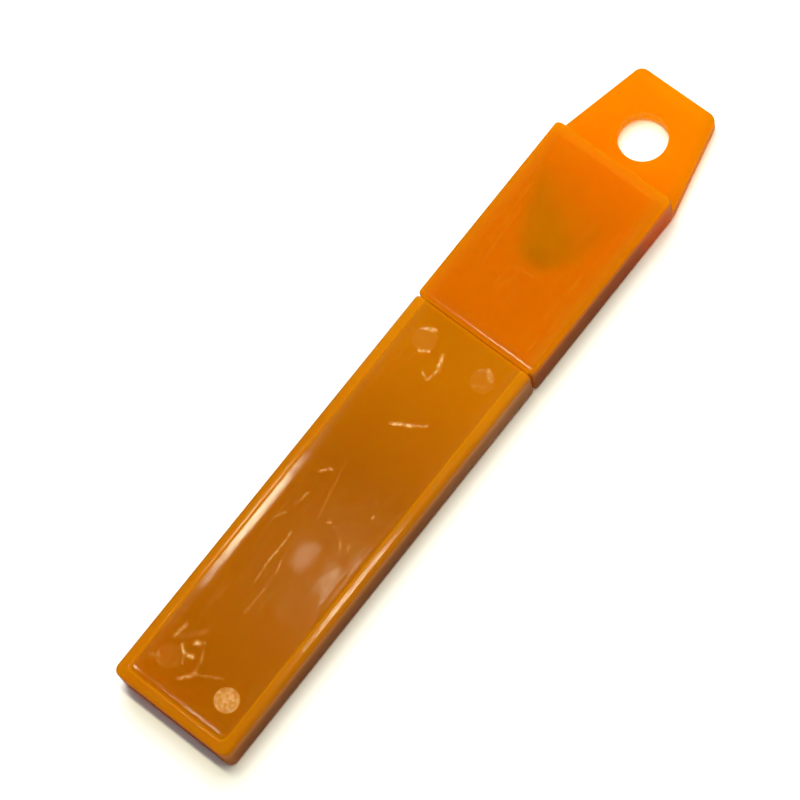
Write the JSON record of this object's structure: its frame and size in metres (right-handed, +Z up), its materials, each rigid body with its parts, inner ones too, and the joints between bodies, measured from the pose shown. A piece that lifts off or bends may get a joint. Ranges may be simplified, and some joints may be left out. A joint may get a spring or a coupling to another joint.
{
  "type": "snap-off blade refill case",
  "caption": "Flat translucent refill case for snap-off knife blades: a sleeve closed at one end, a push-fit cap with a hang tab, and a stack of scored steel blades inside.",
  "frame": {"origin": "middle of the underside of the whole case, on the surface it lies on", "axes": "+X along the case from its closed end to the hang tab, +Z up through the broad faces, +Y across the case towards the blades' spines"},
  "size_m": [0.1238, 0.0222, 0.0084],
  "materials": {
    "case_plastic": "translucent orange polypropylene, moulded gloss with light scuffs",
    "blade_steel": "ground and lightly oiled carbon steel"
  },
  "bodies": {
    "case_body": {"case_body": "case_plastic"},
    "cap": {"cap": "case_plastic"},
    "blade_01": {"blade_01": "blade_steel"},
    "blade_02": {"blade_02": "blade_steel"},
    "blade_03": {"blade_03": "blade_steel"},
    "blade_04": {"blade_04": "blade_steel"},
    "blade_05": {"blade_05": "blade_steel"},
    "blade_06": {"blade_06": "blade_steel"},
    "blade_07": {"blade_07": "blade_steel"},
    "blade_08": {"blade_08": "blade_steel"},
    "blade_09": {"blade_09": "blade_steel"},
    "blade_10": {"blade_10": "blade_steel"}
  },
  "joints": [
    {"name": "cap_slide", "type": "slide", "parent": "case_body", "child": "cap", "axis": [1, 0, 0], "range_m": [0, 0.036]},
    {"name": "blade_01_slide", "type": "slide", "parent": "case_body", "child": "blade_01", "axis": [1, 0, 0], "range_m": [0, 0.0046]},
    {"name": "blade_02_slide", "type": "slide", "parent": "case_body", "child": "blade_02", "axis": [1, 0, 0], "range_m": [0, 0.0046]},
    {"name": "blade_03_slide", "type": "slide", "parent": "case_body", "child": "blade_03", "axis": [1, 0, 0], "range_m": [0, 0.0046]},
    {"name": "blade_04_slide", "type": "slide", "parent": "case_body", "child": "blade_04", "axis": [1, 0, 0], "range_m": [0, 0.0046]},
    {"name": "blade_05_slide", "type": "slide", "parent": "case_body", "child": "blade_05", "axis": [1, 0, 0], "range_m": [0, 0.0046]},
    {"name": "blade_06_slide", "type": "slide", "parent": "case_body", "child": "blade_06", "axis": [1, 0, 0], "range_m": [0, 0.0046]},
    {"name": "blade_07_slide", "type": "slide", "parent": "case_body", "child": "blade_07", "axis": [1, 0, 0], "range_m": [0, 0.0046]},
    {"name": "blade_08_slide", "type": "slide", "parent": "case_body", "child": "blade_08", "axis": [1, 0, 0], "range_m": [0, 0.0046]},
    {"name": "blade_09_slide", "type": "slide", "parent": "case_body", "child": "blade_09", "axis": [1, 0, 0], "range_m": [0, 0.0046]},
    {"name": "blade_10_slide", "type": "slide", "parent": "case_body", "child": "blade_10", "axis": [1, 0, 0], "range_m": [0, 0.0046]}
  ]
}
